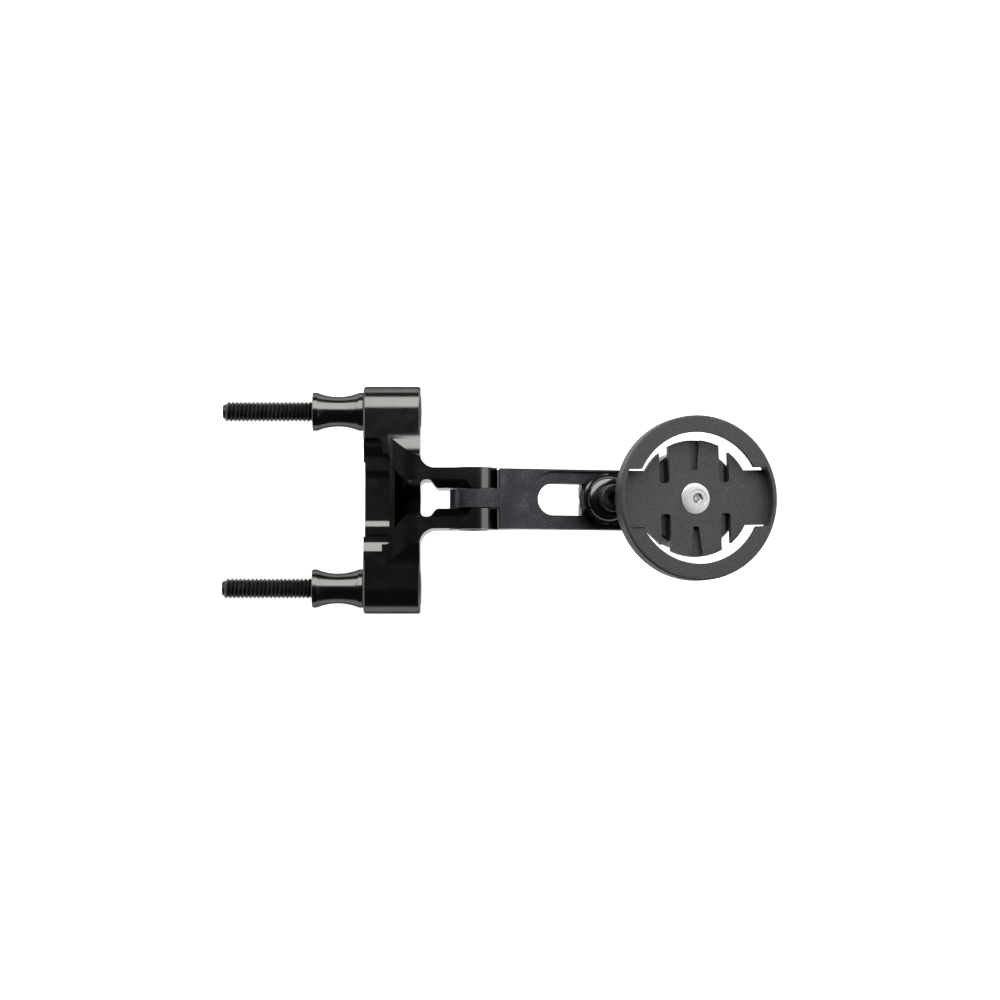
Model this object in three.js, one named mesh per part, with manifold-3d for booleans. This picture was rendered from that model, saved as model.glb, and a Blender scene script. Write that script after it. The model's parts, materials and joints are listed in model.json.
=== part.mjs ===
// Adjustable holder that carries a cycling computer in front of a handlebar stem.
// Two M4 bolts with waisted spacers clamp a T-shaped bracket to the stem's faceplate.
// A clevis hinge tilts a slotted arm, and a carrier slides and swivels on the arm's slot.
// The carrier holds a round cup that takes the computer's quarter-turn foot.
//
// Units are millimetres. +X points forward, away from the stem, +Y to the left and +Z up.
// The origin is the middle of the bracket's stem-side face, level with the stem bolts.
import * as THREE from "three";
import { mergeVertices } from "three/addons/utils/BufferGeometryUtils.js";
import Module from "manifold-3d";

const wasm = await Module();
wasm.setup();

// ---------------------------------------------------------------- driving dimensions
const GAP = 0.08; // air left between pieces that bear on each other
const REACH = 60; // longer than any cut needs to be
const BITE = 0.3; // how far one piece of a body runs into the next

const BAR = { front: 10.8, back: -0.3, halfWidth: 22.35, radius: 4.9, chamfer: 0.3 };
const STEM_BOLT = {
  spread: 17.38, // half the bolt spacing
  shaft: 2.0,
  hole: 2.15,
  headRadius: 3.5,
  headHeight: 4.0,
  length: 35.0,
  counterbore: 3.7,
  seatX: 6.3, // the counterbore's floor
  keySize: 3.0,
};
const WASHER = { radius: 3.5, thickness: 0.5 };
const SPACER = { length: 10.0, flange: 3.78, rim: 0.85, waist: 2.95, bore: 2.15 };

const HINGE = { x: 21.18, z: 2.9, radius: 4.7 };
const YOKE = { halfWidth: 5.93, gap: 1.99, fillet: 2.95, ridge: 3.67, underX: 9.5 };
// The V between the yoke's arms ends in a blunt point just short of the hinge's axis.
const STOP = { startX: 19.8, tipX: 20.9 };
// The yoke's crest on its way back from the hinge, as curve points in [x, z].
const CREST = {
  levelEnd: 17.18,
  dip: [[11.6, 7.6], [10.2, 6.9], [8.5, 6.05]],
  foot: [[6.4, 5.0], [4.3, 4.9]],
};
// The foot of the V between the arms, as [x, z] pairs on its way up from the stem side.
const FLARE = { foot: -0.7, rise: [[6.9, 0.9], [7.9, 2.0], [9.2, 2.9], [10.8, 3.4], [13, 3.75]] };
const SADDLE = { start: 12.9, radius: 6.2 };
const WINDOW = { left: 10.92, lobeEnd: 12.5, right: 14.4, lobeY: 3.6, corner: 1.0, bend: 0.8 };
const RECESS = { halfWidth: 7.3 }; // the middle of the bar's back, which stands clear of the stem
const POCKET = { floor: 2.3, wallX: 4.85, wall: 1.05, halfWidth: 5.6, sweep: 2.54, ridge: 2.9, corner: 0.9 };
const GROOVE = {
  inner: 6.9,
  floorEnd: 8.3,
  shelfStart: 10.3,
  outer: 11.8,
  floor: 2.3,
  shelf: 3.0,
  endX: 3.4,
  corner: 1.2,
  spoutX: 5.0,
  spoutWidth: 2.0,
  ease: 0.6, // how softly the floor turns up and the shelf turns level
};

const HINGE_BOLT = {
  shaft: 1.5,
  hole: 1.6,
  headRadius: 2.6,
  headHeight: 1.65,
  counterbore: 2.8,
  seat: 4.0, // |y| of the floor under the head and under the nut
  keySize: 2.0,
  nutAcross: 5.5,
  nutHeight: 1.6,
};
const HINGE_WASHER = { radius: 3.3, bore: 1.65, thickness: 0.35 };

const ARM_TILT = 15; // degrees, nose down, as the hinge is set
const ARM = {
  halfWidth: 5.85,
  tongue: 1.8,
  knuckle: 4.6,
  shoulder: 4.98, // where the blade starts, at its underside
  overhang: 0.8, // how much nearer the hinge it starts on top
  thickness: 4.2,
  endCentre: 35.15,
  heelTurn: 0.35, // radians past straight down where the knuckle runs off under the blade
  heelRun: 2.0, // how far ahead of the slot that run ends
};
const SLOT = { halfWidth: 3.12, first: 15.2, last: 34.9 };
const TRACK = { halfWidth: 5.45, depth: 0.9 };

const CLAMP_X = 25.3; // how far along the arm the carrier is clamped
const CLAMP_BOLT = { shaft: 1.5, hole: 1.6, headRadius: 2.75, headHeight: 2.6, keySize: 2.5 };
const BARREL_NUT = { radius: 2.95, flange: 4.6, flangeThickness: 1.6, edge: 0.4, keyway: 0.6, keyDepth: 0.7 };
const SLOT_WASHER = { radius: 5.0, bore: 3.1, thickness: 0.8 };
const FLATS = 3.3; // half the length along the slot of the nut's flange and of its washer
const SEAT_WASHER = { radius: 4.9, bore: 1.7, edge: 0.12 };
const TAIL = { radius: 5.0, foot: 4.3, bottom: 4.95, top: 7.7 };
const CAP_WASHER = { radius: 4.4, thickness: 1.3, crown: 3.0, rim: 0.3, steps: 6 };
const OFFSET = 15.7; // clamp bolt to cup centre
const CUP_TURN = 1.75; // degrees, how the cup was turned on the carrier when its pins were set
const PAD = { radius: 9.7, top: 12.42, chamfer: 0.8 };

const CUP = {
  radius: 16.05,
  wall: 0.9,
  lip: 12.8,
  lipThickness: 1.2,
  opening: 5.75,
  bottom: 12.5,
  wallBottom: 13.0,
  floor: 13.9,
  top: 16.6,
  plate: 11.4,
  wing: 5.35,
};
const TONGUE = { halfWidth: 5.15, slotWidth: 1.95, root: 3.0, corner: 0.5 };
const DETENT = { inner: 5.5, innerHalf: 0.55, outerHalf: 1.33, depth: 1.1 };
const CUP_SCREW = {
  shaft: 1.5,
  hole: 1.65,
  headRadius: 2.85,
  land: 0.3, // the straight rim above the countersink
  slope: 0.6, // the countersink's depth for its width
  keySize: 2.0,
  keyDepth: 1.1,
  tip: 6.8,
};
const PIN = { radius: 0.75, spread: 4.4, bottom: 10.4, top: 13.2 };

// ---------------------------------------------------------------- solids
// A closed geometry as a manifold solid with its faces pointing out.
function solid(geometry) {
  const bare = geometry.clone();
  bare.deleteAttribute("normal");
  bare.deleteAttribute("uv");
  const merged = mergeVertices(bare, 1e-4);
  const points = merged.attributes.position;
  const corners = [];
  const source = merged.index.array;
  for (let i = 0; i < source.length; i += 3) {
    const [a, b, c] = [source[i], source[i + 1], source[i + 2]];
    if (a !== b && b !== c && c !== a) corners.push(a, b, c);
  }
  const p = [0, 1, 2].map(() => new THREE.Vector3());
  let volume = 0;
  for (let i = 0; i < corners.length; i += 3) {
    p.forEach((v, k) => v.fromBufferAttribute(points, corners[i + k]));
    volume += p[0].dot(p[1].cross(p[2]));
  }
  if (volume < 0) corners.reverse();
  return new wasm.Manifold(
    new wasm.Mesh({
      numProp: 3,
      vertProperties: new Float32Array(points.array),
      triVerts: new Uint32Array(corners),
    }),
  );
}

// A manifold solid as a geometry that a mesh can hold.
function geometryOf(shape) {
  const mesh = shape.getMesh();
  const geometry = new THREE.BufferGeometry();
  geometry.setAttribute("position", new THREE.BufferAttribute(mesh.vertProperties, 3));
  geometry.setIndex(new THREE.BufferAttribute(mesh.triVerts, 1));
  geometry.computeVertexNormals();
  return geometry;
}

// A cycle of the axes, x to y, y to z and z to x, its inverse, and a quarter turn that puts z on -y.
const CYCLE = new THREE.Matrix4().set(0, 0, 1, 0, 1, 0, 0, 0, 0, 1, 0, 0, 0, 0, 0, 1);
const CYCLE_BACK = CYCLE.clone().invert();
const TO_Y = new THREE.Matrix4().makeRotationX(Math.PI / 2);

// An outline drawn in (y, z) and pulled along X.
function prismX(shape, x0, x1, segments = 16) {
  const geometry = extruded(shape, x1 - x0, segments).applyMatrix4(CYCLE);
  return solid(geometry.translate(x0, 0, 0));
}

// An outline drawn in (x, z) and pulled along Y.
function prismY(shape, y0, y1, segments = 16) {
  const geometry = extruded(shape, y1 - y0, segments).applyMatrix4(TO_Y);
  return solid(geometry.translate(0, y1, 0));
}

// An outline drawn in (x, y) and pulled along Z.
function prismZ(shape, z0, z1, segments = 16) {
  return solid(extruded(shape, z1 - z0, segments).translate(0, 0, z0));
}

function extruded(shape, depth, segments) {
  const options = { depth, bevelEnabled: false, curveSegments: segments };
  return new THREE.ExtrudeGeometry(shape, options);
}

// A turned piece: [radius, height] points, closed on the axis or on themselves, about X, Y or Z.
function turned(profile, axis = "z", segments = 32) {
  const points = profile.map(([r, h]) => new THREE.Vector2(r, h));
  const geometry = new THREE.LatheGeometry(points, segments);
  if (axis === "x") geometry.applyMatrix4(CYCLE_BACK);
  if (axis === "z") geometry.applyMatrix4(CYCLE);
  return solid(geometry);
}

// A plain rod between two heights on an axis.
function rod(radius, from, to, axis = "z", segments = 32) {
  const profile = [[0, from], [radius, from], [radius, to], [0, to]];
  return turned(profile, axis, segments);
}

// A ring between two heights on an axis.
function ring(outer, inner, from, to, axis = "z", segments = 32) {
  const profile = [[inner, from], [outer, from], [outer, to], [inner, to], [inner, from]];
  return turned(profile, axis, segments);
}

// A prism with six sides and a given width across its flats.
function hexagon(across, from, to, axis = "z") {
  return rod(across / Math.sqrt(3), from, to, axis, 6);
}

// ---------------------------------------------------------------- outlines
function polygon(points) {
  return new THREE.Shape(points.map(([u, v]) => new THREE.Vector2(u, v)));
}

function rectangle(u0, v0, u1, v1) {
  return polygon([[u0, v0], [u1, v0], [u1, v1], [u0, v1]]);
}

// A slot outline: a rectangle from u0 to u1 with round ends beyond them.
function obround(u0, u1, halfWidth) {
  const shape = new THREE.Shape();
  shape.absarc(u1, 0, halfWidth, -Math.PI / 2, Math.PI / 2);
  shape.absarc(u0, 0, halfWidth, Math.PI / 2, (3 * Math.PI) / 2);
  return shape;
}

const both = (make) => [-1, 1].map(make);
const joined = (pieces) => pieces.reduce((a, b) => a.add(b));
const cutBy = (shape, tools) => tools.reduce((a, b) => a.subtract(b), shape);

// ---------------------------------------------------------------- the stem bracket
// The cross bar: a flat bar with round ends, its outline in (y, z), chamfered front and back.
function crossBar() {
  const straight = BAR.halfWidth - BAR.radius;
  const full = obround(-straight, straight, BAR.radius);
  const small = obround(-straight, straight, BAR.radius - BAR.chamfer);
  const skin = 1e-3;
  const section = (shape, x) => prismX(shape, x, x + skin, 18);
  const stations = [
    section(small, BAR.back),
    section(full, BAR.back + BAR.chamfer),
    section(full, BAR.front - BAR.chamfer - skin),
    section(small, BAR.front - skin),
  ];
  return wasm.Manifold.hull(stations);
}

// The yoke's side view in (x, z): level under the bar, tapering onto the hinge barrel, and back
// along a crest that dips to the bar's top.
function yokeSide() {
  const from = new THREE.Vector2(YOKE.underX, -BAR.radius);
  const toHinge = new THREE.Vector2(HINGE.x, HINGE.z).sub(from);
  const under = toHinge.angle() - Math.asin(HINGE.radius / toHinge.length());
  const shape = new THREE.Shape();
  shape.moveTo(BAR.back + 1, -BAR.radius);
  shape.lineTo(from.x, from.y);
  shape.absarc(HINGE.x, HINGE.z, HINGE.radius, under - Math.PI / 2, Math.PI / 2, false);
  shape.lineTo(CREST.levelEnd, HINGE.z + HINGE.radius);
  shape.bezierCurveTo(...CREST.dip.flat());
  shape.quadraticCurveTo(...CREST.foot.flat());
  shape.lineTo(BAR.back + 1, BAR.radius);
  return shape;
}

// The yoke's plan in (x, y): as wide as the saddle over the bar, then filleted into two arms.
function yokePlan() {
  const inner = YOKE.halfWidth + YOKE.fillet;
  const centreX = BAR.front + YOKE.fillet;
  const shape = new THREE.Shape();
  shape.moveTo(0, -SADDLE.start);
  shape.lineTo(BAR.front, -SADDLE.start);
  shape.lineTo(BAR.front, -inner);
  shape.absarc(centreX, -inner, YOKE.fillet, Math.PI, Math.PI / 2, true);
  shape.lineTo(REACH, -YOKE.halfWidth);
  shape.lineTo(REACH, YOKE.halfWidth);
  shape.lineTo(centreX, YOKE.halfWidth);
  shape.absarc(centreX, inner, YOKE.fillet, -Math.PI / 2, -Math.PI, true);
  shape.lineTo(BAR.front, SADDLE.start);
  shape.lineTo(0, SADDLE.start);
  return shape;
}

// The saddle's end view in (y, z): the bar's top sweeps up in a hollow curve on each side.
function saddleEnd() {
  const down = -Math.PI / 2;
  const centreZ = BAR.radius + SADDLE.radius;
  const shape = new THREE.Shape();
  shape.moveTo(-SADDLE.start, -REACH);
  shape.lineTo(SADDLE.start, -REACH);
  shape.absarc(SADDLE.start, centreZ, SADDLE.radius, down, -Math.PI, true);
  shape.absarc(-SADDLE.start, centreZ, SADDLE.radius, 0, down, true);
  return shape;
}

// A closed solid through square-cornered V sections in (y, z), given as [x, height of the foot].
function vLoft(stations) {
  const arm = 20;
  const points = stations.flatMap(([x, foot]) =>
    [[x, 0, foot], [x, arm, foot + arm], [x, -arm, foot + arm]]);
  const faces = [0, 2, 1];
  stations.slice(1).forEach((_, i) => {
    const near = 3 * i;
    [[0, 1], [1, 2], [2, 0]].forEach(([m, n]) => {
      faces.push(near + m, near + n, near + 3 + n, near + m, near + 3 + n, near + 3 + m);
    });
  });
  const last = 3 * (stations.length - 1);
  faces.push(last, last + 1, last + 2);
  const geometry = new THREE.BufferGeometry();
  geometry.setAttribute("position", new THREE.Float32BufferAttribute(points.flat(), 3));
  geometry.setIndex(faces);
  return solid(geometry);
}

// The V between the yoke's arms: its foot climbs from the stem side, and it stops short of the hinge.
function valley() {
  const foot = HINGE.z + HINGE.radius - YOKE.ridge;
  const start = POCKET.wallX + POCKET.wall;
  const blade = vLoft([[start, FLARE.foot], ...FLARE.rise, [CREST.levelEnd, foot], [HINGE.x, foot]]);
  const { startX, tipX } = STOP;
  const stop = polygon([
    [0, -REACH], [startX, -REACH], [startX, -YOKE.ridge], [tipX, -YOKE.gap],
    [tipX, YOKE.gap], [startX, YOKE.ridge], [startX, REACH], [0, REACH],
  ]);
  return blade.intersect(prismZ(stop, -REACH, REACH));
}

// The opening behind the hinge: a rounded window that runs into the gap for the arm's tongue.
function openingBehindHinge() {
  const { left, lobeEnd, right, lobeY, corner, bend } = WINDOW;
  const shape = new THREE.Shape();
  shape.absarc(left + corner, -lobeY + corner, corner, Math.PI, 1.5 * Math.PI);
  shape.lineTo(lobeEnd, -lobeY);
  shape.bezierCurveTo(lobeEnd + bend, -lobeY, right - bend, -YOKE.gap, right, -YOKE.gap);
  shape.lineTo(REACH, -YOKE.gap);
  shape.lineTo(REACH, YOKE.gap);
  shape.lineTo(right, YOKE.gap);
  shape.bezierCurveTo(right - bend, YOKE.gap, lobeEnd + bend, lobeY, lobeEnd, lobeY);
  shape.absarc(left + corner, lobeY - corner, corner, Math.PI / 2, Math.PI);
  return prismZ(shape, -REACH, REACH, 8);
}

// The plan of a pocket open to the stem side: (x, y), with round corners at its blind end.
function pocketPlan(y0, y1, endX, corner) {
  const plan = new THREE.Shape();
  plan.moveTo(-REACH, y0);
  plan.absarc(endX - corner, y0 + corner, corner, -Math.PI / 2, 0);
  plan.absarc(endX - corner, y1 - corner, corner, 0, Math.PI / 2);
  plan.lineTo(-REACH, y1);
  return prismZ(plan, -REACH, REACH, 6);
}

// The middle pocket: a flat floor that sweeps up at its sides to two low, flat ridges. Its blind
// end and the side grooves' ends meet squarely, so no thin fin is left between them.
function middlePocket() {
  const { halfWidth, floor, sweep, ridge, wallX, corner } = POCKET;
  const edge = GROOVE.inner + GAP;
  const centre = floor + sweep;
  const turn = Math.acos((centre - ridge) / sweep);
  const flat = halfWidth - sweep * Math.sin(turn);
  const section = new THREE.Shape();
  section.moveTo(-edge, REACH);
  section.lineTo(-edge, ridge);
  section.absarc(-flat, centre, sweep, 1.5 * Math.PI - turn, 1.5 * Math.PI);
  section.absarc(flat, centre, sweep, 1.5 * Math.PI, 1.5 * Math.PI + turn);
  section.lineTo(edge, ridge);
  section.lineTo(edge, REACH);
  const blind = pocketPlan(-edge - corner, edge + corner, wallX, corner);
  return prismX(section, -REACH, REACH, 6).intersect(blind);
}

// A side groove: a floor on its inner side that sweeps gently up to a shelf below the bar's top.
function sideGroove() {
  const { inner, floorEnd, shelfStart, outer, floor, shelf, ease } = GROOVE;
  const section = new THREE.Shape();
  section.moveTo(inner, REACH);
  section.lineTo(inner, floor);
  section.lineTo(floorEnd, floor);
  section.bezierCurveTo(floorEnd + ease, floor, shelfStart - ease, shelf, shelfStart, shelf);
  section.lineTo(outer, shelf);
  section.lineTo(outer, REACH);
  const wide = pocketPlan(inner, outer, GROOVE.endX, GROOVE.corner);
  const { corner } = POCKET;
  const spout = pocketPlan(inner - corner, inner + GROOVE.spoutWidth, GROOVE.spoutX, corner);
  return prismX(section, -REACH, REACH, 8).intersect(wide.add(spout));
}

// Weight-saving pockets open to the stem side, and the recess behind the middle of the bar.
function pockets() {
  const groove = sideGroove();
  const back = rectangle(-RECESS.halfWidth, -REACH, RECESS.halfWidth, REACH);
  return [middlePocket(), groove, groove.mirror([0, 1, 0]), prismX(back, -REACH, 0)];
}

function bracketShape() {
  const yoke = prismY(yokeSide(), -REACH, REACH, 30)
    .intersect(prismZ(yokePlan(), -REACH, REACH, 12))
    .intersect(prismX(saddleEnd(), -REACH, REACH, 16));
  const barrel = rod(HINGE.radius, -YOKE.halfWidth - 0.1, YOKE.halfWidth + 0.1, "y", 48);
  const stemHoles = both((side) => {
    const hole = rod(STEM_BOLT.hole, -1, REACH, "x", 24);
    const seat = rod(STEM_BOLT.counterbore, STEM_BOLT.seatX, REACH, "x", 32);
    return hole.add(seat).translate([0, side * STEM_BOLT.spread, 0]);
  });
  const hingeHole = joined([
    rod(HINGE_BOLT.hole, -REACH, REACH, "y", 24),
    rod(HINGE_BOLT.counterbore, HINGE_BOLT.seat, REACH, "y", 32),
    hexagon(HINGE_BOLT.nutAcross + 2 * GAP, -REACH, -HINGE_BOLT.seat, "y"),
  ]).translate([HINGE.x, 0, HINGE.z]);
  const body = joined([crossBar(), yoke, barrel.translate([HINGE.x, 0, HINGE.z])]);
  return cutBy(body, [valley(), openingBehindHinge(), ...pockets(), ...stemHoles, hingeHole]);
}

// ---------------------------------------------------------------- fasteners
// A socket-head cap screw along -X: the head's seat is at x = 0 and the head stands on +X.
function capScrew({ shaft, headRadius, headHeight, length, keySize }) {
  const edge = 0.3;
  const screw = turned(
    [[0, -length], [shaft - 0.5, -length], [shaft, -length + 0.6], [shaft, 0], [headRadius, 0],
     [headRadius, headHeight - edge], [headRadius - edge, headHeight], [0, headHeight]],
    "x", 24,
  );
  return screw.subtract(hexagon(keySize, headHeight - 2, headHeight + 1, "x"));
}

// A button-head screw along -Z: the head's seat is at z = 0 and its dome stands on +Z.
function buttonScrew({ shaft, headRadius, headHeight, length, keySize }) {
  const dome = [[headRadius, 0], [headRadius, headHeight * 0.25], [headRadius * 0.86, headHeight * 0.68],
    [headRadius * 0.6, headHeight], [0, headHeight]];
  const shank = [[0, -length], [shaft - 0.4, -length], [shaft, -length + 0.5], [shaft, 0]];
  const screw = turned([...shank, ...dome], "z", 24);
  return screw.subtract(hexagon(keySize, headHeight * 0.35, headHeight + 1));
}

// A waisted spacer that ends at x = 0.
function spacerShape() {
  const { length, flange, rim, waist, bore } = SPACER;
  const halfSpan = length / 2 - rim;
  const sag = flange - waist;
  const sweepRadius = (halfSpan ** 2 + sag ** 2) / (2 * sag);
  const curve = [];
  for (let i = 0; i <= 10; i++) {
    const x = halfSpan * (1 - i / 5);
    const r = waist + sweepRadius - Math.sqrt(sweepRadius ** 2 - x ** 2);
    curve.push([r, x - length / 2]);
  }
  const profile = [[bore, 0], [flange - 0.2, 0], [flange, -0.2], ...curve,
    [flange, 0.2 - length], [flange - 0.2, -length], [bore, -length], [bore, 0]];
  return turned(profile, "x", 32);
}

// ---------------------------------------------------------------- the arm, in its own frame
// The arm's frame has its origin on the hinge axis, +X along the arm and +Z out of its face.
const ARM_TOP = ARM.knuckle;
const ARM_BOTTOM = ARM_TOP - ARM.thickness;
const TRACK_FLOOR = ARM_TOP - TRACK.depth;

function armShape() {
  const side = new THREE.Shape();
  side.moveTo(ARM.endCentre + ARM.halfWidth, ARM_BOTTOM);
  side.lineTo(ARM.endCentre + ARM.halfWidth, ARM_TOP);
  side.lineTo(0, ARM_TOP);
  side.absarc(0, 0, ARM.knuckle, Math.PI / 2, (3 * Math.PI) / 2 + ARM.heelTurn);
  side.lineTo(SLOT.first - SLOT.halfWidth - ARM.heelRun, ARM_BOTTOM);
  const profile = prismY(side, -ARM.halfWidth, ARM.halfWidth, 28);
  const tongue = rectangle(-REACH, -ARM.tongue, ARM.shoulder + 1, ARM.tongue);
  const blade = prismZ(obround(0, ARM.endCentre, ARM.halfWidth), -REACH, REACH, 24);
  const fromShoulder = polygon([
    [ARM.shoulder, -REACH], [REACH, -REACH], [REACH, REACH], [ARM.shoulder - ARM.overhang, REACH],
    [ARM.shoulder - ARM.overhang, ARM_TOP], [ARM.shoulder, ARM_BOTTOM],
  ]);
  const plan = blade.intersect(prismY(fromShoulder, -REACH, REACH))
    .add(prismZ(tongue, -REACH, REACH));
  const slot = prismZ(obround(SLOT.first, SLOT.last, SLOT.halfWidth), -REACH, REACH, 12);
  const track = prismZ(obround(SLOT.first, SLOT.last, TRACK.halfWidth), TRACK_FLOOR, REACH, 16);
  const washerSeats = both((s) => {
    const depth = HINGE_WASHER.thickness;
    const seat = rod(HINGE_WASHER.radius + GAP, 0, 5, "y");
    return seat.translate([0, s > 0 ? ARM.tongue - depth : -ARM.tongue + depth - 5, 0]);
  });
  const hole = rod(HINGE_BOLT.hole, -REACH, REACH, "y", 24);
  return cutBy(profile.intersect(plan), [slot, track, hole, ...washerSeats]);
}

// ---------------------------------------------------------------- the clamp on the arm's slot
// All these shapes stand on the clamp bolt's axis and are in the arm's frame otherwise.
const NUT_TOP = TRACK_FLOOR - 0.3;
const CAP_TOP = TAIL.top + GAP + CAP_WASHER.thickness;

// A nut whose round barrel slides in the slot and whose flange bears under the arm.
function barrelNutShape() {
  const flangeTop = ARM_BOTTOM - SLOT_WASHER.thickness - 2 * GAP;
  const flangeBottom = flangeTop - BARREL_NUT.flangeThickness;
  const { radius, flange, edge, keyway, keyDepth } = BARREL_NUT;
  const body = turned(
    [[0, flangeBottom], [flange - edge, flangeBottom], [flange, flangeBottom + edge],
     [flange, flangeTop], [radius, flangeTop], [radius, NUT_TOP], [0, NUT_TOP]],
    "z", 36,
  );
  const thread = rod(CLAMP_BOLT.hole, -REACH, REACH, "z", 24);
  const key = prismZ(rectangle(-REACH, -keyway, REACH, keyway), -REACH, flangeBottom + keyDepth);
  return cutBy(body.intersect(betweenFlats()), [thread, key]);
}

function slotWasherShape() {
  const top = ARM_BOTTOM - GAP;
  const washer = ring(SLOT_WASHER.radius, SLOT_WASHER.bore, top - SLOT_WASHER.thickness, top, "z", 36);
  return washer.intersect(betweenFlats());
}

// The room between two flats across the slot, which keep the nut's flange short along it.
function betweenFlats() {
  return prismZ(rectangle(-FLATS, -REACH, FLATS, REACH), -REACH, REACH);
}

// A washer that lies in the arm's track and carries the tail's foot.
function seatWasherShape() {
  const bottom = TRACK_FLOOR + GAP;
  const top = TAIL.foot - GAP;
  const { radius, bore, edge } = SEAT_WASHER;
  return turned(
    [[bore, bottom], [radius, bottom], [radius, top - edge], [radius - edge, top], [bore, top],
     [bore, bottom]],
    "z", 40,
  );
}

// The carrier: a round tail under the clamp bolt and a thick round pad under the cup.
function carrierShape() {
  const { radius, foot, bottom, top } = TAIL;
  const edge = 0.3;
  const tail = turned(
    [[0, foot], [radius, foot], [radius, top - edge], [radius - edge, top], [0, top]], "z", 48);
  const pad = turned(
    [[0, bottom], [PAD.radius - PAD.chamfer, bottom], [PAD.radius, bottom + PAD.chamfer],
     [PAD.radius, PAD.top - edge], [PAD.radius - edge, PAD.top], [0, PAD.top]],
    "z", 56,
  ).translate([OFFSET, 0, 0]);
  const web = prismZ(rectangle(0, -radius, OFFSET, radius), bottom, top);
  const room = rod(CAP_WASHER.radius + 0.5, top, REACH, "z", 40);
  const boltHole = rod(CLAMP_BOLT.hole, -REACH, REACH, "z", 24);
  const screwHole = rod(CUP_SCREW.hole, -REACH, REACH, "z", 24).translate([OFFSET, 0, 0]);
  const pinHoles = both((s) =>
    rod(PIN.radius + GAP, PIN.bottom - GAP, REACH, "z", 20)
      .translate([0, s * PIN.spread, 0])
      .rotate([0, 0, CUP_TURN])
      .translate([OFFSET, 0, 0]),
  );
  return cutBy(joined([tail, pad, web]), [room, boltHole, screwHole, ...pinHoles]);
}

// A crowned washer: its shoulder rounds off from its rim to the flat under the bolt's head.
function capWasherShape() {
  const bottom = TAIL.top + GAP;
  const { radius, thickness, crown, rim, steps } = CAP_WASHER;
  const shoulder = [];
  for (let i = 0; i < steps; i++) {
    const turn = (i / (steps - 1)) * (Math.PI / 2);
    const r = crown + (radius - crown) * Math.cos(turn);
    shoulder.push([r, bottom + rim + (thickness - rim) * Math.sin(turn)]);
  }
  return turned(
    [[CLAMP_BOLT.hole, bottom], [radius, bottom], ...shoulder, [CLAMP_BOLT.hole, CAP_TOP],
     [CLAMP_BOLT.hole, bottom]],
    "z", 48,
  );
}

// ---------------------------------------------------------------- the quarter-turn cup
// Its origin is the cup's axis. Two inward lips face each other across the front-to-back openings.
function cupShape() {
  const inner = CUP.radius - CUP.wall;
  const edge = 0.35;
  const wall = turned(
    [[inner, CUP.wallBottom], [CUP.radius, CUP.wallBottom], [CUP.radius, CUP.top - edge],
     [CUP.radius - edge, CUP.top], [inner, CUP.top], [inner, CUP.wallBottom]],
    "z", 80,
  );
  const lipBottom = CUP.top - CUP.lipThickness;
  const rim = inner + BITE;
  const lipsAll = ring(rim, CUP.lip, lipBottom, CUP.top, "z", 80);
  const entry = rectangle(-REACH, -CUP.opening, REACH, CUP.opening);
  const lips = lipsAll.subtract(prismZ(entry, lipBottom - 1, CUP.top + 1));
  const wings = prismZ(rectangle(-rim, -CUP.wing, rim, CUP.wing), CUP.bottom, CUP.floor)
    .intersect(rod(rim, CUP.bottom - 1, CUP.floor + 1, "z", 80));
  const plate = rod(CUP.plate, CUP.bottom, CUP.floor, "z", 72);
  const slots = both((signX) => joined(both((signY) => tongueSlot(signX, signY))));
  const detents = both((s) => {
    const outer = CUP.plate + 1;
    const cut = polygon([[-DETENT.innerHalf, DETENT.inner], [DETENT.innerHalf, DETENT.inner],
      [DETENT.outerHalf, outer], [-DETENT.outerHalf, outer]]);
    const tool = prismZ(cut, CUP.floor - DETENT.depth, REACH);
    return s > 0 ? tool : tool.mirror([0, 1, 0]);
  });
  const { hole, headRadius, land, slope } = CUP_SCREW;
  const head = headRadius + 2 * GAP;
  const screwHole = turned(
    [[0, -REACH], [hole, -REACH], [head, CUP.floor - land - (head - hole) * slope],
     [head, REACH], [0, REACH]],
    "z", 32,
  );
  const pinHoles = both((s) =>
    rod(PIN.radius + GAP, 0, PIN.top + GAP, "z", 20).translate([0, s * PIN.spread, 0]),
  );
  const body = joined([wall, lips, wings, plate]);
  return cutBy(body, [...slots, ...detents, screwHole, ...pinHoles]);
}

// One of the four slots that free the flexible tongues from the floor: a blind end near the
// tongue's root, open to the plate's edge. The signs say on which side of the cup it lies.
function tongueSlot(signX, signY) {
  const { halfWidth, slotWidth, root, corner } = TONGUE;
  const left = signX > 0 ? halfWidth : -halfWidth - slotWidth;
  const right = left + slotWidth;
  const cut = new THREE.Shape();
  cut.absarc(left + corner, root + corner, corner, Math.PI, 1.5 * Math.PI);
  cut.absarc(right - corner, root + corner, corner, 1.5 * Math.PI, 2 * Math.PI);
  cut.lineTo(right, CUP.plate + 1);
  cut.lineTo(left, CUP.plate + 1);
  const tool = prismZ(cut, CUP.bottom - 1, CUP.floor + 1, 4);
  return signY > 0 ? tool : tool.mirror([0, 1, 0]);
}

// A countersunk screw, flush with the cup's floor.
function cupScrewShape() {
  const top = CUP.floor - GAP;
  const { shaft, headRadius, land, slope, keySize, keyDepth, tip } = CUP_SCREW;
  const rim = top - land;
  const point = 0.4;
  const screw = turned(
    [[0, tip], [shaft - point, tip], [shaft, tip + point], [shaft, rim - (headRadius - shaft) * slope],
     [headRadius, rim], [headRadius, top], [0, top]],
    "z", 32,
  );
  return screw.subtract(hexagon(keySize, top - keyDepth, top + 1));
}

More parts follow.
